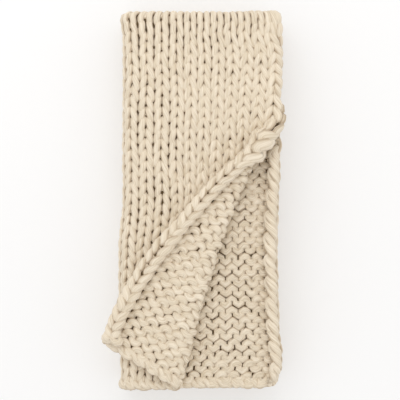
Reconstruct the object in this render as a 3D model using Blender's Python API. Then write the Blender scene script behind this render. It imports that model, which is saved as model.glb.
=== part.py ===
"""A throw in very thick plain knitting, folded in half along its length and pleated in four across.

Units are metres. The stack lies on its back on a surface at Z = 0, with +Y towards its folded end.
Its knit side is up on the top layer, whose lower right corner is turned back over it, so that the
purl side shows there and on the second layer.

The flat cloth is laid out with its top layer already in place: its side edge at X = EDGE_X, the
rest of its width leftwards from there, its front hem at Y = FRONT_HEM_Y and its length upwards.
The tables below use that layout's X and Y. CENTRE is taken off at the end, so that the origin lies
under the middle of the folded throw.
"""

import math

import bmesh
import bpy
import numpy as np

NAME = "knit_throw"
CENTRE = (-0.0126, -0.0008)

# The cloth
WIDTH = 1.280
LENGTH = 1.526
THICKNESS = 0.0135
WALE_WIDTH = WIDTH / 43
RIB_HEIGHT = 0.0012
RIM_WIDTH = 0.005
RIM_THINNING = 0.55

# The folded stack, measured to the middle of the cloth
PITCH = 0.017
LAYERS = 8
BOTTOM_MIDDLE_Z = THICKNESS / 2
TOP_FOLD_Y = 0.3675
FRONT_HEM_Y = -0.383
EDGE_X = 0.178
LEFT_FOLD_X = -0.132
RIGHT_FOLD_X = 0.136
LAST_EDGE_X = 0.150
FOLD_SQUASH = 0.75
OVAL_FACTOR = 1.005
FOLD_ARC = math.pi * (1 + FOLD_SQUASH) / 2 * OVAL_FACTOR

# Where the second layer's side edge lies when flat, and how far it curls up, down the stack
SECOND_EDGE_ROWS = (
    {"y": 0.380, "x": 0.148, "curl": 0.0},
    {"y": 0.330, "x": 0.142, "curl": 0.0},
    {"y": 0.225, "x": 0.142, "curl": 0.0},
    {"y": 0.185, "x": 0.150, "curl": 0.0},
    {"y": 0.165, "x": 0.150, "curl": 0.0},
    {"y": 0.130, "x": 0.156, "curl": 40.0},
    {"y": 0.090, "x": 0.176, "curl": 180.0},
    {"y": -0.060, "x": 0.172, "curl": 190.0},
    {"y": -0.260, "x": 0.174, "curl": 190.0},
    {"y": -0.320, "x": 0.178, "curl": 190.0},
    {"y": -0.380, "x": 0.170, "curl": 150.0},
)
# The same for the top layer's side edge. It curls towards the purl side, down until it turns back.
TOP_EDGE_ROWS = (
    {"y": 0.380, "x": 0.159, "curl": 50.0},
    {"y": 0.345, "x": 0.165, "curl": 90.0},
    {"y": 0.295, "x": 0.182, "curl": 180.0},
    {"y": 0.190, "x": 0.179, "curl": 190.0},
    {"y": 0.130, "x": 0.176, "curl": 215.0},
    {"y": 0.070, "x": 0.173, "curl": 265.0},
    {"y": -0.250, "x": 0.173, "curl": 265.0},
    {"y": -0.380, "x": 0.168, "curl": 265.0},
)
# How far the top layer's hem curls towards the knit side, across the stack
TOP_HEM_ROWS = (
    {"x": -0.150, "curl": 50.0},
    {"x": -0.090, "curl": 50.0},
    {"x": -0.030, "curl": 20.0},
    {"x": 0.160, "curl": 20.0},
)
CURL_RADIUS = 0.0098

# How far the stack's sides stand out from straight, at the left and at the right
SIDE_REACH = 0.15
SIDE_ROWS = (
    {"y": 0.386, "left": -0.003, "right": -0.008},
    {"y": 0.370, "left": 0.004, "right": -0.002},
    {"y": 0.330, "left": 0.000, "right": 0.000},
    {"y": 0.010, "left": 0.000, "right": 0.000},
    {"y": -0.100, "left": 0.008, "right": -0.002},
    {"y": -0.200, "left": 0.008, "right": 0.000},
    {"y": -0.345, "left": 0.003, "right": 0.005},
    {"y": -0.386, "left": 0.008, "right": -0.006},
)

# The crease of the corner that is turned back: a bowed line down the top layer
CREASE_TOP = (0.150, 0.178)
CREASE_FOOT = (-0.060, -0.386)
CREASE_BOW = 0.026
BOW_SKEW = 0.8
CREASE_RADIUS_TOP = 0.0088
CREASE_RADIUS_FOOT = 0.0125
SETTLE_LENGTH = 0.080
CORNER_SHEAR = 0.16
CORNER_DROOP = 0.012
DROOP_REACH = 0.040
CORNER_ROUNDING = 0.014
ROUNDING_REACH = 0.048

# Where the top layer is propped up by its own rolled edge, next to the start of the crease
PROP_HEIGHT = 0.0205
PROP_Y = 0.165
PROP_REACH_Y = 0.105
PROP_EASE = 0.055
PROP_REACH_X = 0.100

# How finely the cloth is divided
RIB_STEPS = 20
CURL_WIDTH = 0.048
CURL_STEPS = 8
PANEL_STEPS = 2
FOLD_STEPS = 8
TOP_FOLD_STEPS = 8
FRONT_STEPS = 15
BACK_STEPS = 12
HEM_WIDTH = 0.060
HEM_STEPS = 5
CREASE_TURNS = (0.0, 0.2, 0.4, 0.6, 0.8, 1.0)
EDGE_CUTS = 12
EDGE_CUTS_BOTTOM = 0.080
EDGE_CUTS_TOP = 0.260
EDGE_CUTS_MARGIN = 0.020
SAME_PLACE = 1e-4

YARN_COLOUR = (0.70, 0.59, 0.45, 1.0)
YARN_ROUGHNESS = 0.95


def smooth(t):
    """0 to 1 with level ends."""
    t = np.clip(t, 0.0, 1.0)
    return t * t * (3.0 - 2.0 * t)


def from_rows(rows, key, column, at):
    """Reads a column of a table between its rows, with a smooth step from each row to the next."""
    ordered = sorted(rows, key=lambda row: row[key])
    keys = np.array([row[key] for row in ordered])
    values = np.array([row[column] for row in ordered])
    at = np.clip(at, keys[0], keys[-1])
    index = np.clip(np.searchsorted(keys, at, side="right") - 1, 0, len(keys) - 2)
    share = smooth((at - keys[index]) / (keys[index + 1] - keys[index]))
    return values[index] + share * (values[index + 1] - values[index])


def curl(distance, angle_deg, height):
    """Rolls a strip next to an edge. It gives how far a point draws in, and its new height.

    The roll is an arc below the cloth; distance is from the edge, height is above the cloth's middle.
    """
    turn = np.clip(np.radians(angle_deg) - distance / CURL_RADIUS, 0.0, None)
    drawn = CURL_RADIUS * turn - (CURL_RADIUS + height) * np.sin(turn)
    lowered = (CURL_RADIUS + height) * np.cos(turn) - CURL_RADIUS
    return drawn, lowered


def fold_lengthwise(along, height):
    """Folds the length in half. It gives Y and the heights of middle and point over the fold's plane."""
    turn_length = math.pi * PITCH / 2
    front_length = TOP_FOLD_Y - FRONT_HEM_Y
    turn = np.clip((along - front_length) / turn_length, 0.0, 1.0) * math.pi
    past = np.maximum(along - front_length - turn_length, 0.0)
    y = np.minimum(FRONT_HEM_Y + along, TOP_FOLD_Y) - past + (PITCH / 2 + height) * np.sin(turn)
    return y, PITCH / 2 * np.cos(turn), (PITCH / 2 + height) * np.cos(turn)


def pleat_lengths(middle):
    """The lengths of the four panels and the three folds between them, along the middle of the cloth."""
    left_arc = FOLD_ARC * (PITCH + middle)
    right_arc = FOLD_ARC * (PITCH - middle)
    panel = RIGHT_FOLD_X - LEFT_FOLD_X
    first, last = EDGE_X - LEFT_FOLD_X, LAST_EDGE_X - LEFT_FOLD_X
    return first, left_arc, panel, right_arc, panel, left_arc, last


def pleat(across, y, middle, point):
    """Pleats the width in four panels with three folds between. It gives X and Z.

    across is the distance from the side edge on the flat cloth. middle and point are heights over the
    plane that the lengthwise fold lies in. The first panel is drawn in or out to put its edge in place.
    """
    front = smooth(middle / PITCH + 0.5)
    edge = front * from_rows(TOP_EDGE_ROWS, "y", "x", y) + (1 - front) * from_rows(SECOND_EDGE_ROWS, "y", "x", y)
    lengths = pleat_lengths(middle)
    way = across / WIDTH * sum(lengths)
    top_z = BOTTOM_MIDDLE_Z + (LAYERS - 1.5) * PITCH
    x = EDGE_X - way + (edge - EDGE_X) * smooth(1 - way / lengths[0])
    z = top_z + point
    start = lengths[0]
    for number in range(3):
        side, centre = (1, RIGHT_FOLD_X) if number % 2 else (-1, LEFT_FOLD_X)
        arc = lengths[2 * number + 1]
        turn = np.clip((way - start) / arc, 0.0, 1.0) * math.pi
        radius = PITCH - side * point
        middle_z = top_z - (2 * number + 1) * PITCH
        past = np.maximum(way - start - arc, 0.0)
        turned_x = centre + side * (FOLD_SQUASH * radius * np.sin(turn) - past)
        x = np.where(way > start, turned_x, x)
        z = np.where(way > start, middle_z + radius * np.cos(turn), z)
        start = start + arc + lengths[2 * number + 2]
    return x, z


def crease_bow(y):
    """How far the crease lies left of its chord at Y."""
    share = np.clip((CREASE_TOP[1] - y) / (CREASE_TOP[1] - CREASE_FOOT[1]), 0.0, 1.0)
    return -CREASE_BOW * np.sin(math.pi * share ** BOW_SKEW)


def turn_back(x, y, z):
    """Bends the top layer over its crease, so that its corner lies on it with the purl side up."""
    top, foot = np.array(CREASE_TOP), np.array(CREASE_FOOT)
    length = np.linalg.norm(foot - top)
    down_x, down_y = (foot - top) / length
    out_x, out_y = -down_y, down_x
    base = BOTTOM_MIDDLE_Z + (LAYERS - 1) * PITCH
    rise = z - base
    straight_x = x - crease_bow(y)
    down = (straight_x - top[0]) * down_x + (y - top[1]) * down_y
    out = (straight_x - top[0]) * out_x + (y - top[1]) * out_y
    radius = CREASE_RADIUS_TOP + (CREASE_RADIUS_FOOT - CREASE_RADIUS_TOP) * np.clip(down / length, 0.0, 1.0)
    turn = np.clip(out / radius, 0.0, math.pi)
    over = np.maximum(out - math.pi * radius, 0.0)
    turned_out = (radius - rise) * np.sin(turn) - over
    turned_rise = radius - (radius - rise) * np.cos(turn) - (2 * radius - PITCH) * smooth(over / SETTLE_LENGTH)

    # The hem's direction after the turn is its own direction mirrored in the crease.
    hemward_x, hemward_y = -2 * down_y * down_x, -2 * down_y * down_y + 1
    slide = CORNER_SHEAR * over
    new_x = top[0] + down * down_x + turned_out * out_x + slide * hemward_x
    new_y = top[1] + down * down_y + turned_out * out_y + slide * hemward_y
    new_x = new_x + crease_bow(new_y)
    overhang = np.maximum(LEFT_FOLD_X - PITCH - new_x, 0.0) / DROOP_REACH
    turned_rise = turned_rise - CORNER_DROOP * smooth(overhang)
    turned = out > 0
    return np.where(turned, new_x, x), np.where(turned, new_y, y), np.where(turned, base + turned_rise, z)


def place(flat_x, flat_y, height):
    """Where a point of the laid-out cloth goes: height is over the cloth's middle, on the knit side."""
    across, along = EDGE_X - flat_x, flat_y - FRONT_HEM_Y
    front_length = TOP_FOLD_Y - FRONT_HEM_Y
    y, middle, point = fold_lengthwise(along, height)
    front = smooth(middle / PITCH + 0.5)

    angle = front * from_rows(TOP_EDGE_ROWS, "y", "curl", y)
    angle += (1 - front) * from_rows(SECOND_EDGE_ROWS, "y", "curl", y)
    drawn, lowered = curl(across, angle, height)
    in_curl = across < CURL_WIDTH
    point = np.where(in_curl, point + (lowered - height) * np.where(middle > 0, 1, -1), point)

    x, z = pleat(across, y, middle, point)
    x = np.where(in_curl, x - drawn, x)

    on_top = (flat_x > LEFT_FOLD_X) & (along < front_length)
    angle = from_rows(TOP_HEM_ROWS, "x", "curl", x)
    drawn, lowered = curl(along, angle, -height)
    in_curl = on_top & (along < CURL_WIDTH)
    y = np.where(in_curl, y + drawn, y)
    z = np.where(in_curl, z - (lowered + height), z)

    near_side = smooth(1 - across / ROUNDING_REACH)
    near_hem = smooth(1 - along / ROUNDING_REACH) + smooth(1 - (LENGTH - along) / ROUNDING_REACH)
    x = x - CORNER_ROUNDING * near_side * near_hem
    y = y + CORNER_ROUNDING * near_side * near_hem

    turned = turn_back(x, y, z)
    x, y, z = (np.where(on_top, new, old) for new, old in zip(turned, (x, y, z)))
    near_y, near_x = PROP_REACH_Y - np.abs(y - PROP_Y), PROP_REACH_X - np.abs(EDGE_X - x)
    prop = PROP_HEIGHT * smooth(near_y / PROP_EASE) * smooth(near_x / PROP_REACH_X)
    z = np.where(on_top, z + prop, z)
    x = x - from_rows(SIDE_ROWS, "y", "left", y) * smooth(-x / SIDE_REACH)
    x = x + from_rows(SIDE_ROWS, "y", "right", y) * smooth(x / SIDE_REACH)
    return np.stack([x - CENTRE[0], y - CENTRE[1], z], axis=-1)


def half_thickness(flat_x, flat_y):
    """Half the cloth's thickness, rounded off towards its rims."""
    across, along = EDGE_X - flat_x, flat_y - FRONT_HEM_Y
    rim = np.minimum(np.minimum(across, WIDTH - across), np.minimum(along, LENGTH - along))
    rounding = 1 - RIM_THINNING * np.clip(1 - rim / RIM_WIDTH, 0.0, 1.0)
    return THICKNESS / 2 * rounding


def rib_height(flat_x, flat_y):
    """The rise of the wales on the knit side of the top layer, level elsewhere."""
    across = EDGE_X - flat_x
    on_panel = (across < WIDTH / 4) & (flat_y < TOP_FOLD_Y)
    return np.where(on_panel, -RIB_HEIGHT * np.cos(2 * math.pi * across / WALE_WIDTH), 0.0)


def spread(start, end, steps):
    """Even steps from start up to, and without, end."""
    return np.linspace(start, end, steps, endpoint=False)


def divisions():
    """The distances from the side edge and from the front hem at which the flat cloth is divided."""
    front = np.cumsum(pleat_lengths(PITCH / 2))
    back = np.cumsum(pleat_lengths(-PITCH / 2))
    front, back = front / front[-1] * WIDTH, back / back[-1] * WIDTH
    starts, ends = np.minimum(front, back)[0:6:2], np.maximum(front, back)[1:6:2]
    across = [[0.0], spread(RIM_WIDTH, CURL_WIDTH, CURL_STEPS), spread(CURL_WIDTH, starts[0], RIB_STEPS)]
    for start, end, panel_end in zip(starts, ends, (*starts[1:], WIDTH - RIM_WIDTH)):
        across += [spread(start, end, FOLD_STEPS), spread(end, panel_end, PANEL_STEPS)]
    across.append([WIDTH - RIM_WIDTH, WIDTH])
    fold_start = TOP_FOLD_Y - FRONT_HEM_Y
    fold_end = fold_start + math.pi * PITCH / 2
    along = [[0.0], spread(RIM_WIDTH, CURL_WIDTH, CURL_STEPS - 1), spread(CURL_WIDTH, fold_start, FRONT_STEPS)]
    along += [spread(fold_start, fold_end, TOP_FOLD_STEPS), spread(fold_end, LENGTH - HEM_WIDTH, BACK_STEPS)]
    along.append(spread(LENGTH - HEM_WIDTH, LENGTH - RIM_WIDTH, HEM_STEPS))
    along.append([LENGTH - RIM_WIDTH, LENGTH])
    return np.concatenate(across), np.concatenate(along)


def divide(bm, left, bottom, top, point, normal):
    """Cuts a line through the faces whose middles are right of left, and between bottom and top."""
    faces = [f for f in bm.faces if f.calc_center_median().x > left and bottom < f.calc_center_median().y < top]
    edges = {edge for face in faces for edge in face.edges}
    verts = {vert for face in faces for vert in face.verts}
    geom = [*faces, *edges, *verts]
    bmesh.ops.bisect_plane(bm, geom=geom, dist=SAME_PLACE, plane_co=(*point, 0.0), plane_no=(*normal, 0.0))


def laid_out_cloth():
    """The flat cloth as a grid, with lines across the turned corner where the crease bends it."""
    across, along = divisions()
    bm = bmesh.new()
    bmesh.ops.create_grid(bm, x_segments=len(across) - 1, y_segments=len(along) - 1, size=0.5)
    for vert in bm.verts:
        column = round((vert.co.x + 0.5) * (len(across) - 1))
        row = round((vert.co.y + 0.5) * (len(along) - 1))
        vert.co = (EDGE_X - across[column], FRONT_HEM_Y + along[row], 0.0)
        vert.co.x -= float(crease_bow(vert.co.y))

    top, foot = np.array(CREASE_TOP), np.array(CREASE_FOOT)
    down = (foot - top) / np.linalg.norm(foot - top)
    out = np.array([-down[1], down[0]])
    for turn in CREASE_TURNS:
        start = top + out * turn * math.pi * CREASE_RADIUS_TOP
        end = foot + out * turn * math.pi * CREASE_RADIUS_FOOT
        divide(bm, LEFT_FOLD_X, FRONT_HEM_Y, EDGE_CUTS_TOP, start, (start[1] - end[1], end[0] - start[0]))
    for y in np.linspace(EDGE_CUTS_BOTTOM, EDGE_CUTS_TOP, EDGE_CUTS):
        left = EDGE_X - CURL_WIDTH - EDGE_CUTS_MARGIN
        divide(bm, left, EDGE_CUTS_BOTTOM - CURL_WIDTH, EDGE_CUTS_TOP + CURL_WIDTH, (0.0, y), (0.0, 1.0))
    for vert in bm.verts:
        vert.co.x += float(crease_bow(vert.co.y))
    return bm


def knit_throw():
    """Gives the flat cloth two faces and a rim, and folds it."""
    bm = laid_out_cloth()
    made = bmesh.ops.extrude_face_region(bm, geom=bm.faces[:], use_keep_orig=True)
    knit_side = {item for item in made["geom"] if isinstance(item, bmesh.types.BMVert)}
    flat = np.array([vert.co for vert in bm.verts])
    on_knit = np.array([vert in knit_side for vert in bm.verts])
    half = half_thickness(flat[:, 0], flat[:, 1])
    height = np.where(on_knit, half + rib_height(flat[:, 0], flat[:, 1]), -half)
    for vert, point in zip(bm.verts, place(flat[:, 0], flat[:, 1], height)):
        vert.co = point
    bmesh.ops.recalc_face_normals(bm, faces=bm.faces[:])
    if bm.calc_volume(signed=True) < 0:
        bmesh.ops.reverse_faces(bm, faces=bm.faces[:])
    bmesh.ops.triangulate(bm, faces=bm.faces[:])
    mesh = bpy.data.meshes.new(NAME)
    bm.to_mesh(mesh)
    bm.free()
    return bpy.data.objects.new(NAME, mesh)


def yarn_material():
    """Matt oatmeal yarn."""
    material = bpy.data.materials.new("oatmeal_yarn")
    material.use_nodes = True
    shader = material.node_tree.nodes["Principled BSDF"]
    shader.inputs["Base Color"].default_value = YARN_COLOUR
    shader.inputs["Roughness"].default_value = YARN_ROUGHNESS
    return material


def main():
    for obj in list(bpy.data.objects):
        bpy.data.objects.remove(obj)
    collection = bpy.data.collections.new(NAME)
    bpy.context.scene.collection.children.link(collection)
    throw = knit_throw()
    throw.data.materials.append(yarn_material())
    throw.data.shade_smooth()
    collection.objects.link(throw)


main()
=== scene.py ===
"""Looks of a throw knitted in very thick yarn, folded into a stack with one corner turned back.

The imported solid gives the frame. Every row of yarn is laid out flat as loops, and then carried
through the same folds as the solid: in half along the length, in four pleats across the width,
curled at the side edges and turned back at the lower right corner of the top layer.
"""
import logging
import math
from dataclasses import dataclass, field
from enum import Enum
from typing import Callable

import bpy
import mathutils
import numpy as np
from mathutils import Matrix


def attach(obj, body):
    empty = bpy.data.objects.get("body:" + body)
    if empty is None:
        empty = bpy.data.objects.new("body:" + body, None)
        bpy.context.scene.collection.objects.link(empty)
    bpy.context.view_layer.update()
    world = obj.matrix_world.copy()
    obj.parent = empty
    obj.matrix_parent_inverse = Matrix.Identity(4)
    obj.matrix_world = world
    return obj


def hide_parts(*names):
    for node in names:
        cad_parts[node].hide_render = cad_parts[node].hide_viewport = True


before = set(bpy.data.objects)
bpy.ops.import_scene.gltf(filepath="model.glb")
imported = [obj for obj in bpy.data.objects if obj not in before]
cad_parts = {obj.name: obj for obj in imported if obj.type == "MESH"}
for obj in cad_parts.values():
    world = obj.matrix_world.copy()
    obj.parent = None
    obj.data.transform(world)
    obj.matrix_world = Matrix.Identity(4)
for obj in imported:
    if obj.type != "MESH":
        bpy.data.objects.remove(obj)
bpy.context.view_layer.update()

NODE = "knit_throw"
BODY = "root"
STRAND_UV = "strand"
SHORTEST = 1e-12
log = logging.getLogger("throw")

Array = np.ndarray
Rows = tuple[dict[str, float], ...]


def smooth(t: Array | float) -> Array:
    """Gives 3t^2 - 2t^3 of t held between 0 and 1: a step with level ends.

    Args:
        t: Any numbers.

    Returns:
        The eased numbers, between 0 and 1.
    """
    t = np.clip(t, 0.0, 1.0)
    return t * t * (3.0 - 2.0 * t)


def from_rows(rows: Rows, key: str, column: str, at: Array) -> Array:
    """Reads a table's column, easing from each row to the next.

    Args:
        rows: The table.
        key: The column that is looked up.
        column: The column that is read.
        at: Where to look, in the key's units.

    Returns:
        The column's value at each place.
    """
    ordered = sorted(rows, key=lambda row: row[key])
    keys = np.array([row[key] for row in ordered])
    values = np.array([row[column] for row in ordered])
    at = np.clip(at, keys[0], keys[-1])
    index = np.clip(np.searchsorted(keys, at, side="right") - 1, 0, len(keys) - 2)
    share = smooth((at - keys[index]) / (keys[index + 1] - keys[index]))
    return values[index] + share * (values[index + 1] - values[index])


def unit(vectors: Array) -> Array:
    """Scales each vector to length one."""
    return vectors / np.maximum(np.linalg.norm(vectors, axis=-1, keepdims=True), SHORTEST)


def square_to(vectors: Array, direction: Array) -> Array:
    """Takes off each vector the part that lies along a unit direction."""
    return vectors - (vectors * direction).sum(axis=-1, keepdims=True) * direction


class Detail(Enum):
    """How many points a loop of yarn has."""

    FULL = 26
    MIDDLING = 18
    COARSE = 10


class Side(Enum):
    """The two side edges of the flat cloth."""

    FIRST = 0
    LAST = 1


class Hem(Enum):
    """The two edges where the knitting starts and ends."""

    CAST_ON = 0
    BOUND_OFF = 1


@dataclass(frozen=True)
class Folds:
    """The way the flat cloth is folded, in the solid's own sizes, measured to the cloth's middle."""

    centre: tuple[float, float] = (-0.0126, -0.0008)
    width: float = 1.280
    length: float = 1.526
    pitch: float = 0.017
    layers: int = 8
    bottom_middle_z: float = 0.00675
    top_fold_y: float = 0.3675
    front_hem_y: float = -0.383
    edge_x: float = 0.178
    left_fold_x: float = -0.132
    right_fold_x: float = 0.136
    last_edge_x: float = 0.150
    fold_squash: float = 0.75
    oval_factor: float = 1.005
    curl_radius: float = 0.0098
    curl_width: float = 0.048
    side_reach: float = 0.15
    crease_top: tuple[float, float] = (0.150, 0.178)
    crease_foot: tuple[float, float] = (-0.060, -0.386)
    crease_bow: float = 0.026
    bow_skew: float = 0.8
    crease_radius_top: float = 0.0088
    crease_radius_foot: float = 0.0125
    settle_length: float = 0.080
    corner_shear: float = 0.16
    corner_droop: float = 0.012
    droop_reach: float = 0.040
    corner_rounding: float = 0.014
    rounding_reach: float = 0.048
    prop_height: float = 0.0205
    prop_y: float = 0.165
    prop_reach_y: float = 0.105
    prop_ease: float = 0.055
    prop_reach_x: float = 0.100
    second_edge: Rows = (
        {"y": 0.380, "x": 0.148, "curl": 0.0},
        {"y": 0.330, "x": 0.142, "curl": 0.0},
        {"y": 0.225, "x": 0.142, "curl": 0.0},
        {"y": 0.185, "x": 0.150, "curl": 0.0},
        {"y": 0.165, "x": 0.150, "curl": 0.0},
        {"y": 0.130, "x": 0.156, "curl": 40.0},
        {"y": 0.090, "x": 0.176, "curl": 180.0},
        {"y": -0.060, "x": 0.172, "curl": 190.0},
        {"y": -0.260, "x": 0.174, "curl": 190.0},
        {"y": -0.320, "x": 0.178, "curl": 190.0},
        {"y": -0.380, "x": 0.170, "curl": 150.0},
    )
    top_edge: Rows = (
        {"y": 0.380, "x": 0.159, "curl": 50.0},
        {"y": 0.345, "x": 0.165, "curl": 90.0},
        {"y": 0.295, "x": 0.182, "curl": 180.0},
        {"y": 0.190, "x": 0.179, "curl": 190.0},
        {"y": 0.130, "x": 0.176, "curl": 215.0},
        {"y": 0.070, "x": 0.173, "curl": 265.0},
        {"y": -0.250, "x": 0.173, "curl": 265.0},
        {"y": -0.380, "x": 0.168, "curl": 265.0},
    )
    top_hem: Rows = (
        {"x": -0.150, "curl": 50.0},
        {"x": -0.090, "curl": 50.0},
        {"x": -0.030, "curl": 20.0},
        {"x": 0.160, "curl": 20.0},
    )
    sides: Rows = (
        {"y": 0.386, "left": -0.003, "right": -0.008},
        {"y": 0.370, "left": 0.004, "right": -0.002},
        {"y": 0.330, "left": 0.000, "right": 0.000},
        {"y": 0.010, "left": 0.000, "right": 0.000},
        {"y": -0.100, "left": 0.008, "right": -0.002},
        {"y": -0.200, "left": 0.008, "right": 0.000},
        {"y": -0.345, "left": 0.003, "right": 0.005},
        {"y": -0.386, "left": 0.008, "right": -0.006},
    )

    @property
    def front_length(self) -> float:
        """The straight length of the front sheet."""
        return self.top_fold_y - self.front_hem_y

    @property
    def fold_arc(self) -> float:
        """The length of a squashed half turn of radius 1: pi times its mean half axis, and a little more."""
        return math.pi * (1 + self.fold_squash) / 2 * self.oval_factor

    def curl(self, distance: Array, angle_deg: Array, height: Array) -> tuple[Array, Array]:
        """Rolls a strip next to an edge round an arc that lies below the cloth.

        With a = angle - distance / R, a point draws in by R a - (R + height) sin a, and ends at
        height (R + height) cos a - R.

        Args:
            distance: From the edge, on the flat cloth.
            angle_deg: How far the edge itself turns.
            height: Over the cloth's middle.

        Returns:
            How far each point draws in, and its new height.
        """
        radius = self.curl_radius
        turn = np.clip(np.radians(angle_deg) - distance / radius, 0.0, None)
        drawn = radius * turn - (radius + height) * np.sin(turn)
        return drawn, (radius + height) * np.cos(turn) - radius

    def fold_lengthwise(self, along: Array, height: Array) -> tuple[Array, Array, Array]:
        """Folds the length in half, in a half circle of half the layers' pitch.

        Args:
            along: From the front hem, on the flat cloth.
            height: Over the cloth's middle, on the knit side.

        Returns:
            Y, and the heights of the cloth's middle and of the point over the fold's own plane.
        """
        radius = self.pitch / 2
        turn = np.clip((along - self.front_length) / (math.pi * radius), 0.0, 1.0) * math.pi
        past = np.maximum(along - self.front_length - math.pi * radius, 0.0)
        y = np.minimum(self.front_hem_y + along, self.top_fold_y) - past + (radius + height) * np.sin(turn)
        return y, radius * np.cos(turn), (radius + height) * np.cos(turn)

    def pleat(self, across: Array, y: Array, middle: Array, point: Array) -> tuple[Array, Array]:
        """Pleats the width in four panels, with three squashed half turns between them.

        The distance on the flat cloth is a share of the whole way round panels and turns. A turn of
        radius r carries a point along (squash * r sin a, r cos a) about the middle between panels. The
        first panel's middle plane lies between the two top layers, and the panel is drawn in or out so
        that its edge lies where the tables of the edges say.

        Args:
            across: From the first side edge, on the flat cloth.
            y: Where the points lie along the stack.
            middle: The height of the cloth's middle over the lengthwise fold's plane.
            point: The height of the point itself over that plane.

        Returns:
            X and Z.
        """
        front = smooth(middle / self.pitch + 0.5)
        edge = front * from_rows(self.top_edge, "y", "x", y)
        edge = edge + (1 - front) * from_rows(self.second_edge, "y", "x", y)
        left_arc = self.fold_arc * (self.pitch + middle)
        right_arc = self.fold_arc * (self.pitch - middle)
        panel = self.right_fold_x - self.left_fold_x
        lengths = (self.edge_x - self.left_fold_x, left_arc, panel, right_arc, panel, left_arc,
                   self.last_edge_x - self.left_fold_x)
        way = across / self.width * sum(lengths)
        top_z = self.bottom_middle_z + (self.layers - 1.5) * self.pitch
        x = self.edge_x - way + (edge - self.edge_x) * smooth(1 - way / lengths[0])
        z = top_z + point
        start = lengths[0]
        for number in range(3):
            side, centre = (1, self.right_fold_x) if number % 2 else (-1, self.left_fold_x)
            arc = lengths[2 * number + 1]
            turn = np.clip((way - start) / arc, 0.0, 1.0) * math.pi
            radius = self.pitch - side * point
            middle_z = top_z - (2 * number + 1) * self.pitch
            past = np.maximum(way - start - arc, 0.0)
            x = np.where(way > start, centre + side * (self.fold_squash * radius * np.sin(turn) - past), x)
            z = np.where(way > start, middle_z + radius * np.cos(turn), z)
            start = start + arc + lengths[2 * number + 2]
        return x, z

    def bow(self, y: Array) -> Array:
        """How far the crease lies from its chord at Y: a skewed half sine to the left."""
        share = np.clip((self.crease_top[1] - y) / (self.crease_top[1] - self.crease_foot[1]), 0.0, 1.0)
        return -self.crease_bow * np.sin(math.pi * share**self.bow_skew)

    def turn_back(self, x: Array, y: Array, z: Array) -> tuple[Array, Array, Array]:
        """Bends the top layer over its crease, so that its corner lies on it with the purl side up.

        Out past the crease a point first goes round a half circle of radius R, and what is left of
        its way runs back over the layer, sinks from 2R to one pitch, and slides towards the hem.

        Args:
            x: Places along X.
            y: Places along Y.
            z: Heights.

        Returns:
            The new X, Y and Z.
        """
        top, foot = np.array(self.crease_top), np.array(self.crease_foot)
        span = float(np.linalg.norm(foot - top))
        down_x, down_y = (foot - top) / span
        out_x, out_y = -down_y, down_x
        base = self.bottom_middle_z + (self.layers - 1) * self.pitch
        rise = z - base
        straight_x = x - self.bow(y)
        down = (straight_x - top[0]) * down_x + (y - top[1]) * down_y
        out = (straight_x - top[0]) * out_x + (y - top[1]) * out_y
        share = np.clip(down / span, 0.0, 1.0)
        radius = self.crease_radius_top + (self.crease_radius_foot - self.crease_radius_top) * share
        turn = np.clip(out / radius, 0.0, math.pi)
        over = np.maximum(out - math.pi * radius, 0.0)
        turned_out = (radius - rise) * np.sin(turn) - over
        sink = (2 * radius - self.pitch) * smooth(over / self.settle_length)
        turned_rise = radius - (radius - rise) * np.cos(turn) - sink
        hemward_x, hemward_y = -2 * down_y * down_x, -2 * down_y * down_y + 1
        slide = self.corner_shear * over
        new_y = top[1] + down * down_y + turned_out * out_y + slide * hemward_y
        new_x = top[0] + down * down_x + turned_out * out_x + slide * hemward_x + self.bow(new_y)
        overhang = np.maximum(self.left_fold_x - self.pitch - new_x, 0.0) / self.droop_reach
        turned_rise = turned_rise - self.corner_droop * smooth(overhang)
        turned = (new_x, new_y, base + turned_rise)
        return tuple(np.where(out > 0, new, old) for new, old in zip(turned, (x, y, z)))

    def place(self, across: Array, along: Array, height: Array) -> Array:
        """Carries points of the flat cloth through every curl and fold.

        Args:
            across: From the first side edge.
            along: From the front hem.
            height: Over the cloth's middle, on the knit side.

        Returns:
            The points, with X, Y and Z on the last axis.
        """
        y, middle, point = self.fold_lengthwise(along, height)
        front = smooth(middle / self.pitch + 0.5)
        angle = front * from_rows(self.top_edge, "y", "curl", y)
        angle = angle + (1 - front) * from_rows(self.second_edge, "y", "curl", y)
        drawn, lowered = self.curl(across, angle, height)
        in_curl = across < self.curl_width
        point = np.where(in_curl, point + (lowered - height) * np.where(middle > 0, 1, -1), point)
        x, z = self.pleat(across, y, middle, point)
        x = np.where(in_curl, x - drawn, x)

        on_top = (self.edge_x - across > self.left_fold_x) & (along < self.front_length)
        drawn, lowered = self.curl(along, from_rows(self.top_hem, "x", "curl", x), -height)
        in_curl = on_top & (along < self.curl_width)
        y = np.where(in_curl, y + drawn, y)
        z = np.where(in_curl, z - (lowered + height), z)

        reach = self.rounding_reach
        near_side = smooth(1 - across / reach)
        near_hem = smooth(1 - along / reach) + smooth(1 - (self.length - along) / reach)
        x = x - self.corner_rounding * near_side * near_hem
        y = y + self.corner_rounding * near_side * near_hem

        turned = self.turn_back(x, y, z)
        x, y, z = (np.where(on_top, new, old) for new, old in zip(turned, (x, y, z)))
        near_y = self.prop_reach_y - np.abs(y - self.prop_y)
        near_x = self.prop_reach_x - np.abs(self.edge_x - x)
        prop = self.prop_height * smooth(near_y / self.prop_ease) * smooth(near_x / self.prop_reach_x)
        z = np.where(on_top, z + prop, z)
        x = x - from_rows(self.sides, "y", "left", y) * smooth(-x / self.side_reach)
        x = x + from_rows(self.sides, "y", "right", y) * smooth(x / self.side_reach)
        return np.stack([x - self.centre[0], y - self.centre[1], z], axis=-1)


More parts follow.
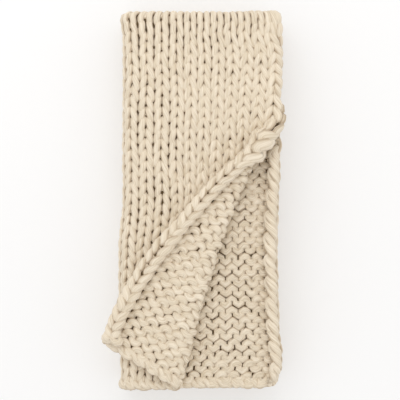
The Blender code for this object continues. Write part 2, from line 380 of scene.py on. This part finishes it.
@dataclass(frozen=True)
class Strand:
    """A tube of yarn round a centre line, laid out on the flat cloth as (across, along, height).

    Attributes:
        path: The centre line's points, as steps x 3.
        half_width: In the cloth's plane, at each point.
        half_depth: Square to that, at each point.
        sides: The number of points round the strand.
        spread_limits: The least and the most by which the folds may widen the strand.
    """

    path: Array
    half_width: Array
    half_depth: Array
    sides: int = 8
    spread_limits: tuple[float, float] = (0.9, 1.7)

    def rings(self, fold: Callable[[Array], Array]) -> Array:
        """Puts a ring round each folded point: centre + wide * cos f * side + deep * sin f * up.

        side and up are the flat cloth's directions, across the strand and square to it, carried through
        the folds. Where the folds stretch the cloth across the strand, the strand spreads with it.

        Args:
            fold: Carries flat points to their place in the folded throw.

        Returns:
            The points, as steps x sides x 3.
        """
        way = unit(np.gradient(self.path, axis=0))
        side = unit(np.stack([way[:, 1], -way[:, 0], np.zeros(len(way))], axis=-1))
        up = np.cross(side, way)
        half = self.half_width[:, None]
        centre = fold(self.path)
        folded_way = unit(np.gradient(centre, axis=0))
        folded_side = square_to(fold(self.path + side * half) - fold(self.path - side * half), folded_way)
        folded_up = square_to(fold(self.path + up * half) - fold(self.path - up * half), folded_way)
        spread = np.clip(np.linalg.norm(folded_side, axis=-1) / (2 * self.half_width), *self.spread_limits)
        folded_side = unit(folded_side)
        folded_up = unit(square_to(folded_up, folded_side))
        angle = np.arange(self.sides) / self.sides * 2 * math.pi
        wide = ((self.half_width * spread)[:, None] * np.cos(angle))[..., None] * folded_side[:, None]
        deep = (self.half_depth[:, None] * np.sin(angle))[..., None] * folded_up[:, None]
        return centre[:, None] + wide + deep

    def uvs(self) -> Array:
        """Measures metres along the strand and turns round it.

        The metres start from a number that depends on where the strand starts, so that strands side by
        side don't show the same fibres.

        Returns:
            The UVs, as steps x (sides + 1) x 2.
        """
        hop = np.linalg.norm(np.diff(self.path, axis=0), axis=-1)
        along = np.concatenate([[0.0], np.cumsum(hop)])
        along = along + self.path[0, 0] + math.tau * self.path[0, 1]
        return np.stack(np.meshgrid(along, np.arange(self.sides + 1) / self.sides, indexing="ij"), axis=-1)


@dataclass
class PieceMesh:
    """Faces gathered for one piece, and turned outward when it is made."""

    name: str
    verts: list[Array] = field(default_factory=list)
    faces: list[Array] = field(default_factory=list)
    uvs: list[Array] = field(default_factory=list)
    count: int = 0

    def add_faces(self, points: Array, faces: Array, uvs: Array) -> None:
        """Adds faces of one size.

        Args:
            points: New points, as n x 3.
            faces: Corner numbers among these points, as faces x corners.
            uvs: One UV for each corner, as faces x corners x 2.
        """
        self.verts.append(points)
        self.faces.append(faces + self.count)
        self.uvs.append(uvs.reshape(-1, 2))
        self.count += len(points)

    def add_tube(self, rings: Array, uvs: Array) -> None:
        """Adds the skin of a tube and a closed face at each end.

        Args:
            rings: Points as steps x sides x 3.
            uvs: As steps x (sides + 1) x 2.
        """
        steps, sides, _ = rings.shape
        index = np.arange(steps * sides).reshape(steps, sides)
        near = np.roll(index, -1, axis=1)
        quads = np.stack([index[:-1], near[:-1], near[1:], index[1:]], axis=-1).reshape(-1, 4)
        corner = np.stack([uvs[:-1, :-1], uvs[:-1, 1:], uvs[1:, 1:], uvs[1:, :-1]], axis=-2)
        first = self.count
        self.add_faces(rings.reshape(-1, 3), quads, corner)
        ends = np.stack([index[0, ::-1], index[-1]])
        self.faces.append(ends + first)
        self.uvs.append(np.concatenate([uvs[0, :-1][::-1], uvs[-1, :-1]]))

    def volume(self) -> float:
        """Adds up p0 . (p1 x p2) over the triangles that fan out from each face's first corner.

        Returns:
            Six times the volume, below zero where the faces point inwards.
        """
        points = np.concatenate(self.verts)
        total = 0.0
        for faces in self.faces:
            for corner in range(1, faces.shape[1] - 1):
                a, b, c = (points[faces[:, k]] for k in (0, corner, corner + 1))
                total += float((a * np.cross(b, c)).sum())
        return total

    def make(self) -> bpy.types.Object:
        """Writes the arrays into a mesh.

        Returns:
            The new object, linked to the scene and smooth shaded.
        """
        faces, uvs = self.faces, self.uvs
        if self.volume() < 0:
            uvs = [uv.reshape(len(part), -1, 2)[:, ::-1].reshape(-1, 2) for part, uv in zip(faces, uvs)]
            faces = [part[:, ::-1] for part in faces]
        sizes = np.concatenate([np.full(len(part), part.shape[1]) for part in faces]).astype(np.int32)
        corners = np.concatenate([part.ravel() for part in faces]).astype(np.int32)
        mesh = bpy.data.meshes.new(self.name)
        mesh.vertices.add(self.count)
        mesh.vertices.foreach_set("co", np.concatenate(self.verts).astype(np.float32).ravel())
        mesh.loops.add(len(corners))
        mesh.loops.foreach_set("vertex_index", corners)
        mesh.polygons.add(len(sizes))
        starts = np.concatenate([[0], np.cumsum(sizes)[:-1]]).astype(np.int32)
        mesh.polygons.foreach_set("loop_start", starts)
        mesh.polygons.foreach_set("use_smooth", np.ones(len(sizes), bool))
        uv_map = mesh.uv_layers.new(name=STRAND_UV)
        uv_map.data.foreach_set("uv", np.concatenate(uvs).astype(np.float32).ravel())
        mesh.update(calc_edges=True)
        mesh.validate()
        piece = bpy.data.objects.new(self.name, mesh)
        bpy.context.scene.collection.objects.link(piece)
        log.info("%s: %d triangles", self.name, int((sizes - 2).sum()))
        return piece


@dataclass(frozen=True)
class YarnFinish:
    """Soft single-ply yarn: long fibres that wind slowly round the strand, and a faint fuzz.

    The strand's colour is darkened with painted shade towards its two sides, where it sinks between its
    neighbours.
    """

    name: str
    light: tuple[float, float, float]
    dark: tuple[float, float, float]
    # Painted shade: the warm tint, strength and power by which the strand's two sides are darkened
    painted_shade_tint: tuple[float, float, float] = (0.36, 0.23, 0.10)
    roughness: float = 0.92
    sheen: float = 0.25
    sheen_roughness: float = 0.45
    specular: float = 0.25
    fibre_length: float = 0.055
    fibres_round: float = 22.0
    twist_length: float = 0.16
    fibre_detail: float = 4.0
    fibre_grain: float = 0.62
    fibre_range: tuple[float, float] = (0.30, 0.62)
    fibre_bump: float = 0.0024
    fibre_strength: float = 0.8
    fuzz_size: float = 0.0012
    fuzz_detail: float = 3.0
    fuzz_bump: float = 0.0003
    fuzz_strength: float = 0.6
    painted_shade_strength: float = 0.46
    painted_shade_power: float = 6.0

    def material(self) -> bpy.types.Material:
        """Builds the nodes: the fibres are noise on a cylinder, (r cos v, r sin v, u / fibre length).

        Returns:
            The material.
        """
        material = bpy.data.materials.new(self.name)
        material.use_nodes = True
        tree = material.node_tree
        shader = tree.nodes["Principled BSDF"]
        shader.inputs["Roughness"].default_value = self.roughness
        shader.inputs["Sheen Weight"].default_value = self.sheen
        shader.inputs["Sheen Roughness"].default_value = self.sheen_roughness
        shader.inputs["Specular IOR Level"].default_value = self.specular

        def node(kind: str, **settings: object) -> bpy.types.Node:
            """Adds a node.

            Args:
                kind: The node's type.
                settings: Values for its own properties.

            Returns:
                The node.
            """
            made = tree.nodes.new(kind)
            for key, value in settings.items():
                setattr(made, key, value)
            return made

        def result(operation: str, first: object, second: object = 0.0) -> bpy.types.NodeSocket:
            """Adds a math node.

            Args:
                operation: What it works out.
                first: A socket or a plain number.
                second: Another, where the operation takes two.

            Returns:
                The socket that gives the result.
            """
            made = node("ShaderNodeMath", operation=operation)
            for socket, value in zip(made.inputs, (first, second)):
                if isinstance(value, (int, float)):
                    socket.default_value = value
                else:
                    tree.links.new(value, socket)
            return made.outputs[0]

        uv = node("ShaderNodeUVMap", uv_map=STRAND_UV)
        parts = node("ShaderNodeSeparateXYZ")
        tree.links.new(uv.outputs["UV"], parts.inputs[0])
        wound = result("MULTIPLY", parts.outputs["X"], 1 / self.twist_length)
        turn = result("MULTIPLY", result("ADD", parts.outputs["Y"], wound), math.tau)
        radius = self.fibres_round / math.tau
        fibre_place = node("ShaderNodeCombineXYZ")
        tree.links.new(result("MULTIPLY", result("COSINE", turn), radius), fibre_place.inputs["X"])
        tree.links.new(result("MULTIPLY", result("SINE", turn), radius), fibre_place.inputs["Y"])
        fibres_along = result("MULTIPLY", parts.outputs["X"], 1 / self.fibre_length)
        tree.links.new(fibres_along, fibre_place.inputs["Z"])
        fibres = node("ShaderNodeTexNoise")
        fibres.inputs["Scale"].default_value = 1.0
        fibres.inputs["Detail"].default_value = self.fibre_detail
        fibres.inputs["Roughness"].default_value = self.fibre_grain
        tree.links.new(fibre_place.outputs[0], fibres.inputs["Vector"])

        place = node("ShaderNodeTexCoord")
        fuzz = node("ShaderNodeTexNoise")
        fuzz.inputs["Scale"].default_value = 1 / self.fuzz_size
        fuzz.inputs["Detail"].default_value = self.fuzz_detail
        tree.links.new(place.outputs["Object"], fuzz.inputs["Vector"])

        ramp = node("ShaderNodeValToRGB")
        stops = zip(ramp.color_ramp.elements, self.fibre_range, (self.dark, self.light))
        for stop, position, colour in stops:
            stop.position = position
            stop.color = (*colour, 1)
        tree.links.new(fibres.outputs["Fac"], ramp.inputs["Fac"])
        # Painted shade: towards the strand's two sides, where it sinks between its neighbours, the colour is
        # multiplied by the dark tint
        round_strand = result("MULTIPLY", parts.outputs["Y"], math.tau)
        sideways = result("ABSOLUTE", result("COSINE", round_strand))
        painted_shade_share = result("MULTIPLY", result("POWER", sideways, self.painted_shade_power), self.painted_shade_strength)
        # Of a Mix node's sockets of like names, those for colours are inputs 6 and 7 and output 2
        shaded = node("ShaderNodeMix", data_type="RGBA", blend_type="MULTIPLY")
        tree.links.new(painted_shade_share, shaded.inputs[0])
        tree.links.new(ramp.outputs["Color"], shaded.inputs[6])
        shaded.inputs[7].default_value = (*self.painted_shade_tint, 1)
        tree.links.new(shaded.outputs[2], shader.inputs["Base Color"])

        fuzz_bump = node("ShaderNodeBump")
        fuzz_bump.inputs["Strength"].default_value = self.fuzz_strength
        fuzz_bump.inputs["Distance"].default_value = self.fuzz_bump
        tree.links.new(fuzz.outputs["Fac"], fuzz_bump.inputs["Height"])
        fibre_bump = node("ShaderNodeBump")
        fibre_bump.inputs["Strength"].default_value = self.fibre_strength
        fibre_bump.inputs["Distance"].default_value = self.fibre_bump
        tree.links.new(fibres.outputs["Fac"], fibre_bump.inputs["Height"])
        tree.links.new(fuzz_bump.outputs["Normal"], fibre_bump.inputs["Normal"])
        tree.links.new(fibre_bump.outputs["Normal"], shader.inputs["Normal"])
        return material


@dataclass(frozen=True)
class Knitting:
    """The throw's plain knitting: rows of loops, the joins at the side edges and the two hems.

    A loop's centre line, with t from -pi to pi over one column, runs by
    across = column * (u + lean * sin 2t),
    along = row middle + reach * row * cos t * (1 + square * sin^2 t), and
    height = -depth * cos 2t - nesting * cos t, so that its legs lie on the knit side.

    The lean changes over the cloth. It is greater at the side edge of the first rows and where the Vs
    stand open above the turned corner. It is smaller where only the purl side is seen and at the
    lengthwise fold, and it goes the other way at the very edge past that fold, on the roll. An "ease"
    is the stretch over which such a change comes in: in metres for purl_ease, else in columns or rows.
    """

    folds: Folds = Folds()
    columns: int = 43
    rows: int = 70
    lean: float = 0.180
    edge_lean: float = 0.235
    edge_lean_rows: float = 30.0
    edge_ease_rows: float = 8.0
    edge_column: float = 1.3
    edge_ease: float = 0.6
    open_columns: float = 7.5
    open_ease: float = 6.0
    open_rows: tuple[float, float] = (15.0, 35.0)
    open_ease_rows: tuple[float, float] = (5.0, 6.0)
    roll_lean: float = -0.07
    roll_column: float = 0.6
    roll_ease: float = 0.2
    purl_lean: float = 0.150
    purl_leg_width: float = 0.0127
    purl_back_width: float = 0.0162
    purl_start: float = 0.025
    purl_ease: float = 0.030
    purl_column: float = 1.4
    straight_lean: float = 0.125
    straight_rows: float = 7.0
    straight_ease_rows: float = 4.0
    reach: float = 0.83
    hem_reach: float = 0.20
    square: float = 0.05
    depth: float = 0.0034
    nesting: float = 0.0006
    leg_width: float = 0.0139
    back_width: float = 0.0155
    leg_thickness: float = 0.0102
    back_thickness: float = 0.0108
    wander: float = 0.0009
    uneven_reach: float = 0.018
    uneven_width: float = 0.050
    uneven_height: float = 0.0010
    edge_widening: float = 0.14
    widening_column: float = 1.8
    meander: float = 0.0022
    meander_waves: int = 7
    meander_rates: tuple[float, float] = (0.25, 0.9)
    column_places: Rows = (
        {"column": 0, "even": 0.0, "corner": 0.0, "fold": 0.0},
        {"column": 1, "even": 0.0298, "corner": 0.0320, "fold": 0.0140},
        {"column": 3, "even": 0.0841, "corner": 0.0902, "fold": 0.0700},
        {"column": 8, "even": 0.2234, "corner": 0.2216, "fold": 0.2200},
        {"column": 11, "even": 0.3146, "corner": 0.3140, "fold": 0.3146},
        {"column": 43, "even": 1.2800, "corner": 1.2800, "fold": 1.2800},
    )
    corner_start: float = 0.72
    corner_length: float = 0.24
    fold_reach: float = 0.085
    join_reach: float = 0.004
    join_inset: float = 0.004
    join_steps: int = 11
    hem_twist: float = 0.0050
    hem_lift: float = 0.0036
    hem_inset: float = 0.0105
    hem_strand_width: float = 0.0132
    hem_flatness: float = 0.85
    hem_end: float = 0.15
    hem_steps: int = 18
    outer_loops: int = 2
    piece_rows: int = 14
    seed: int = 7
    sheet_inset: float = 0.009
    sheet_thickness: float = 0.003
    sheet_steps_across: int = 168
    sheet_steps_along: int = 144

    @property
    def column(self) -> float:
        """The width of a column of loops."""
        return self.folds.width / self.columns

    @property
    def row(self) -> float:
        """The height of a row of loops."""
        return self.folds.length / self.rows

    @property
    def fold_row(self) -> float:
        """The number of rows from the cast-on hem to the lengthwise fold."""
        return (self.folds.front_length + self.folds.pitch) / self.row

    def past_fold(self, row: int) -> float:
        """How far a row is past the lengthwise fold: 0 until straight_rows beyond it, then easing to 1."""
        return smooth((row - self.fold_row - self.straight_rows) / self.straight_ease_rows)

    def detail(self, row: int, column: int) -> Detail:
        """Chooses how finely a loop is made.

        Args:
            row: Counted from the cast-on hem.
            column: Counted from the first side edge.

        Returns:
            The detail: full on the top layer and along the second one's edge, middling on the outer
            turns and at the stack's ends. The rest is coarse, also where the turned corner bares it.
        """
        folds = self.folds
        front = row * self.row < folds.front_length + folds.pitch
        top_columns = (folds.edge_x - folds.left_fold_x) / self.column + 0.5
        outer = self.outer_loops
        if column < (top_columns if front else outer):
            return Detail.FULL
        panel = (folds.right_fold_x - folds.left_fold_x + 2 * folds.pitch) / self.column
        from_turn = (column + 0.5 - top_columns) % panel
        at_turn = min(from_turn, panel - from_turn) < outer or column >= self.columns - outer
        at_end = row < outer or row >= self.rows - outer or abs(row + 0.5 - self.fold_row) < outer
        return Detail.MIDDLING if at_turn or at_end else Detail.COARSE

    def random_walk(self, maker: np.random.Generator, at: Array, size: float) -> Array:
        """Eases between random numbers that stand half a column apart.

        Args:
            maker: The source of the random numbers.
            at: Where to read, in columns.
            size: The spread of the numbers.

        Returns:
            One number for each place.
        """
        values = maker.normal(0.0, size, 2 * self.columns + 2)
        index = np.clip((at * 2).astype(int), 0, 2 * self.columns)
        share = smooth(at * 2 - index)
        return values[index] * (1 - share) + values[index + 1] * share

    def column_place(self, column: Array, along: Array) -> Array:
        """Finds where columns lie: shifted a little by the turned corner and by the lengthwise fold.

        Args:
            column: In columns, from the first side edge.
            along: From the cast-on hem.

        Returns:
            The distance across, straight from row to row of the table.
        """
        numbers, even, corner, fold = (np.array([row[key] for row in self.column_places])
                                       for key in ("column", "even", "corner", "fold"))
        even, corner, fold = (np.interp(column, numbers, places) for places in (even, corner, fold))
        by_corner = smooth((self.corner_start - along) / self.corner_length)
        from_fold = np.abs(along - self.folds.front_length - self.folds.pitch)
        by_fold = smooth(1 - from_fold / self.fold_reach)
        return even + by_corner * (corner - even) + by_fold * (fold - even)

    def purl_only(self, at: Array, row: int) -> Array:
        """Finds where only the purl side is seen: past the lengthwise fold, and on the turned corner.

        A point's distance past the crease is the cross product of its way from the crease's top with the
        crease's direction, on the flat cloth. The first columns keep the lean of the edge.

        Args:
            at: Places along the row, in columns.
            row: Counted from the cast-on hem.

        Returns:
            One share for each place, from 0 to 1.
        """
        folds = self.folds
        ends = [np.array([folds.edge_x - x, y - folds.front_hem_y])
                for x, y in (folds.crease_top, folds.crease_foot)]
        down_across, down_along = (ends[1] - ends[0]) / np.linalg.norm(ends[1] - ends[0])
        across, along = self.column * at - ends[0][0], self.row * (row + 0.5) - ends[0][1]
        past_crease = across * down_along - along * down_across
        on_corner = smooth((past_crease - self.purl_start) / self.purl_ease)
        on_corner = on_corner * smooth(at - self.purl_column)
        return np.maximum(on_corner, self.past_fold(row))

    def waves(self, maker: np.random.Generator) -> Array:
        """Draws the long waves that the columns meander by.

        Args:
            maker: The source of the random numbers.

        Returns:
            A line for each wave: radians per column, radians per row, and where it starts.
        """
        count = self.meander_waves
        rates = maker.uniform(*self.meander_rates, (count, 2)) * maker.choice([-1, 1], (count, 2))
        return np.concatenate([rates, maker.uniform(0, math.tau, (count, 1))], axis=1)

    def row_lean(self, at: Array, row: int, purl_only: Array) -> Array:
        """Works out how far a row's loops lean, easing from one part of the cloth to the next.

        Args:
            at: Places along the row, in columns.
            row: Counted from the cast-on hem.
            purl_only: Where only the purl side is seen.

        Returns:
            The lean at each place, in columns.
        """
        straight = smooth(1 - abs(row + 0.5 - self.fold_row) / self.straight_rows)
        lean = self.lean + (self.straight_lean - self.lean) * straight
        by_edge = smooth((self.edge_column - at) / self.edge_ease)
        by_edge = by_edge * smooth((self.edge_lean_rows - row) / self.edge_ease_rows)
        low_row, high_row = self.open_rows
        low_ease, high_ease = self.open_ease_rows
        opened = smooth((self.open_columns - at) / self.open_ease)
        opened = opened * smooth((high_row - row) / high_ease) * smooth((row - low_row) / low_ease)
        lean = lean + (self.edge_lean - lean) * np.maximum(by_edge, opened)
        lean = lean + (self.purl_lean - lean) * purl_only
        on_roll = smooth((self.roll_column - at) / self.roll_ease) * self.past_fold(row)
        return lean + (self.roll_lean - lean) * on_roll

    def row_strand(self, row: int, maker: np.random.Generator, waves: Array) -> Strand:
        """Lays out one row of loops.

        Args:
            row: Counted from the cast-on hem.
            maker: The source of the unevenness.
            waves: The long waves of the columns.

        Returns:
            The row's strand.
        """
        steps = [np.linspace(0, 1, self.detail(row, column).value, endpoint=False) + column
                 for column in range(self.columns)]
        at = np.concatenate([*steps, [float(self.columns)]])
        t = math.tau * at - math.pi
        low = self.hem_reach if row == 0 else self.reach
        high = self.hem_reach if row == self.rows - 1 else self.reach
        reach = np.where(np.cos(t) < 0, low, high) * (1 + self.random_walk(maker, at, self.uneven_reach))
        purl_only = self.purl_only(at, row)
        lean = self.row_lean(at, row, purl_only)
        square = 1 + self.square * np.sin(t) ** 2
        along = self.row * (row + 0.5 + reach * np.cos(t) * square)
        along = along + self.random_walk(maker, at, self.wander)
        wave = np.sin(at[:, None] * waves[:, 0] + row * waves[:, 1] + waves[:, 2]).sum(axis=1)
        inside = smooth(at) * smooth(self.columns - at)
        across = self.column_place(at + lean * np.sin(2 * t), along)
        across = across + self.random_walk(maker, at, self.wander)
        across = across + self.meander / math.sqrt(self.meander_waves) * wave * inside
        height = -self.depth * np.cos(2 * t) - self.nesting * np.cos(t)
        height = height + self.random_walk(maker, at, self.uneven_height)
        uneven = 1 + self.random_walk(maker, at, self.uneven_width)
        uneven = uneven + self.edge_widening * smooth(self.widening_column - at)
        behind = smooth(np.cos(t) ** 2)
        leg_width = self.leg_width + (self.purl_leg_width - self.leg_width) * purl_only
        back_width = self.back_width + (self.purl_back_width - self.back_width) * purl_only
        half_width = (leg_width + (back_width - leg_width) * behind) / 2 * uneven
        half_depth = (self.leg_thickness + (self.back_thickness - self.leg_thickness) * behind) / 2 * uneven
        return Strand(np.stack([across, along, height], axis=-1), half_width, half_depth)

    def join_strand(self, row: int, side: Side) -> Strand:
        """Lays out the short turn by which the yarn goes from one row to the next at a side edge.

        With s from 0 to pi it swings out by sin s, and climbs one row by (1 - cos s) / 2.

        Args:
            row: The lower of the two rows.
            side: The side edge.

        Returns:
            The join's strand.
        """
        s = np.linspace(0, math.pi, self.join_steps)
        out = self.join_inset - (self.join_inset + self.join_reach) * np.sin(s)
        across = out if side is Side.FIRST else self.folds.width - out
        low = self.hem_reach if row == 0 else self.reach
        start = self.row * (row + 0.5 - low)
        end = self.row * (row + 1.5 - self.reach)
        along = start + (end - start) * (1 - np.cos(s)) / 2
        height = np.full_like(s, -self.depth + self.nesting)
        half_width = np.full_like(s, self.back_width / 2)
        return Strand(np.stack([across, along, height], axis=-1), half_width, half_width)

    def hem_strands(self, hem: Hem) -> list[Strand]:
        """Lays out the two strands that wind round each other along a hem, one wind in a column.

        Args:
            hem: The cast-on or the bound-off edge.

        Returns:
            The two strands.
        """
        at = np.linspace(self.hem_end, self.columns - self.hem_end, self.columns * self.hem_steps)
        middle = self.hem_inset if hem is Hem.CAST_ON else self.folds.length - self.hem_inset
        strands = []
        for start in (0.0, math.pi):
            turn = math.tau * at + start
            across = self.column * at
            along = middle + self.hem_twist * np.sin(turn)
            height = self.hem_lift * np.cos(turn)
            path = np.stack([across, along, height], axis=-1)
            half_width = np.full_like(at, self.hem_strand_width / 2)
            strands.append(Strand(path, half_width, half_width * self.hem_flatness))
        return strands

    def fold(self, points: Array) -> Array:
        """Carries points of the flat cloth through the folds."""
        return self.folds.place(points[..., 0], points[..., 1], points[..., 2])

    def add_strand(self, mesh: PieceMesh, strand: Strand) -> None:
        """Adds a strand to a piece, folded, and pressed on the floor at z = 0.

        Args:
            mesh: The piece.
            strand: The strand, still flat.
        """
        rings = strand.rings(self.fold)
        rings[..., 2] = np.maximum(rings[..., 2], 0.0)
        mesh.add_tube(rings, strand.uvs())

    def yarn_pieces(self) -> list[bpy.types.Object]:
        """Makes the rows, in pieces of a few rows each, with their joins and hems.

        Returns:
            The new objects.
        """
        maker = np.random.default_rng(self.seed)
        waves = self.waves(maker)
        pieces = []
        for start in range(0, self.rows, self.piece_rows):
            end = min(start + self.piece_rows, self.rows)
            mesh = PieceMesh(f"rows_{start + 1:02d}_to_{end:02d}")
            strands = [self.row_strand(row, maker, waves) for row in range(start, end)]
            joined = range(start, min(end, self.rows - 1))
            strands += [self.join_strand(row, Side(row % 2)) for row in joined]
            for strand in strands:
                self.add_strand(mesh, strand)
            pieces.append(mesh.make())
        for hem in Hem:
            mesh = PieceMesh(f"{hem.name.lower()}_edge")
            for strand in self.hem_strands(hem):
                self.add_strand(mesh, strand)
            pieces.append(mesh.make())
        return pieces

    def middle_sheet(self) -> bpy.types.Object:
        """Makes the thin closed sheet that runs in the middle of the yarn, from edge to edge. Its dark
        colour is painted shade, seen in the gaps between the strands.

        Returns:
            The new object.
        """
        across = np.linspace(self.sheet_inset, self.folds.width - self.sheet_inset, self.sheet_steps_across)
        along = np.linspace(self.sheet_inset, self.folds.length - self.sheet_inset, self.sheet_steps_along)
        flat = np.stack(np.meshgrid(across, along, indexing="ij"), axis=-1)
        half = self.sheet_thickness / 2
        levels = [np.concatenate([flat, np.full((*flat.shape[:2], 1), level)], axis=-1)
                  for level in (-half, half)]
        points = np.stack([self.fold(level) for level in levels])
        index = np.arange(points[..., 0].size).reshape(points.shape[:3])
        under, over = index
        quads = [np.stack([over[:-1, :-1], over[1:, :-1], over[1:, 1:], over[:-1, 1:]], axis=-1),
                 np.stack([under[:-1, :-1], under[:-1, 1:], under[1:, 1:], under[1:, :-1]], axis=-1)]
        rim = [(over[0], under[0]), (under[-1], over[-1]),
               (under[:, 0], over[:, 0]), (over[:, -1], under[:, -1])]
        quads += [np.stack([a[:-1], a[1:], b[1:], b[:-1]], axis=-1) for a, b in rim]
        faces = np.concatenate([quad.reshape(-1, 4) for quad in quads])
        corner_uvs = np.tile(flat.reshape(-1, 2), (2, 1))[faces]
        mesh = PieceMesh("middle_sheet")
        mesh.add_faces(points.reshape(-1, 3), faces, corner_uvs)
        return mesh.make()

    def build(self, yarn: YarnFinish, shade: YarnFinish) -> None:
        """Makes and dresses every piece, and attaches it to the body.

        Args:
            yarn: The finish of the strands.
            shade: The finish of the sheet between them, a dark colour painted as the shade in the gaps.
        """
        sheet = self.middle_sheet()
        strands = self.yarn_pieces()
        sheet.data.materials.append(shade.material())
        yarn_material = yarn.material()
        for piece in strands:
            piece.data.materials.append(yarn_material)
        for piece in [sheet, *strands]:
            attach(piece, BODY)
        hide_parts(NODE)


@dataclass(frozen=True)
class Studio:
    """A white sweep, soft light all round, and the camera straight above the throw."""

    view_centre: tuple[float, float] = (0.0126, 0.0008)
    camera_height: float = 3.13
    subject_height: float = 0.13
    view_width: float = 0.8064
    far_limit: float = 50.0
    sensor: float = 36.0
    floor_size: float = 8.0
    floor_colour: tuple[float, float, float] = (0.62, 0.615, 0.61)
    floor_glow: float = 0.325
    sky: float = 0.94
    key_power: float = 11.8
    key_size: float = 1.8
    key_place: tuple[float, float, float] = (-0.3, 1.35, 1.9)

    def camera(self) -> None:
        """Points the camera down, with a lens of sensor * distance / width seen."""
        lens = self.sensor * (self.camera_height - self.subject_height) / self.view_width
        data = bpy.data.cameras.new("camera")
        data.sensor_width = self.sensor
        data.lens = lens
        data.clip_end = self.far_limit
        camera = bpy.data.objects.new("camera", data)
        camera.location = (*self.view_centre, self.camera_height)
        bpy.context.scene.collection.objects.link(camera)
        bpy.context.scene.camera = camera

    def floor(self) -> None:
        """Lays the floor at z = 0."""
        half = self.floor_size / 2
        corners = [(-half, -half, 0), (half, -half, 0), (half, half, 0), (-half, half, 0)]
        mesh = bpy.data.meshes.new("floor")
        mesh.from_pydata(corners, [], [(0, 1, 2, 3)])
        floor = bpy.data.objects.new("floor", mesh)
        material = bpy.data.materials.new("white_sweep")
        material.use_nodes = True
        shader = material.node_tree.nodes["Principled BSDF"]
        shader.inputs["Base Color"].default_value = (*self.floor_colour, 1)
        shader.inputs["Roughness"].default_value = 1.0
        shader.inputs["Specular IOR Level"].default_value = 0.0
        shader.inputs["Emission Color"].default_value = (1, 1, 1, 1)
        shader.inputs["Emission Strength"].default_value = self.floor_glow
        mesh.materials.append(material)
        bpy.context.scene.collection.objects.link(floor)

    def lights(self) -> None:
        """Sets the white surroundings and one large soft lamp at the upper left."""
        world = bpy.data.worlds.new("studio")
        world.use_nodes = True
        background = world.node_tree.nodes["Background"]
        background.inputs["Color"].default_value = (1, 1, 1, 1)
        background.inputs["Strength"].default_value = self.sky
        bpy.context.scene.world = world
        data = bpy.data.lights.new("key", "AREA")
        data.energy = self.key_power
        data.size = self.key_size
        lamp = bpy.data.objects.new("key", data)
        lamp.location = self.key_place
        lamp.rotation_euler = (-mathutils.Vector(self.key_place)).to_track_quat("-Z", "Y").to_euler()
        bpy.context.scene.collection.objects.link(lamp)

    def build(self) -> None:
        """Makes the camera, floor and lights, with plain tones in the picture."""
        self.camera()
        self.floor()
        self.lights()
        bpy.context.scene.view_settings.view_transform = "Standard"


def main() -> None:
    """Builds the throw and its studio."""
    logging.basicConfig(level=logging.INFO, format="%(name)s: %(message)s")
    yarn = YarnFinish("oatmeal_yarn", light=(0.905, 0.797, 0.642), dark=(0.66, 0.545, 0.385))
    # Painted shade: the middle sheet's near-black colour stands in for the shade seen through the gaps
    # between strands
    shade = YarnFinish("painted_shade_in_the_gaps", light=(0.13, 0.085, 0.038), dark=(0.09, 0.06, 0.03))
    Studio().build()
    Knitting().build(yarn, shade)


if __name__ == "__main__":
    main()
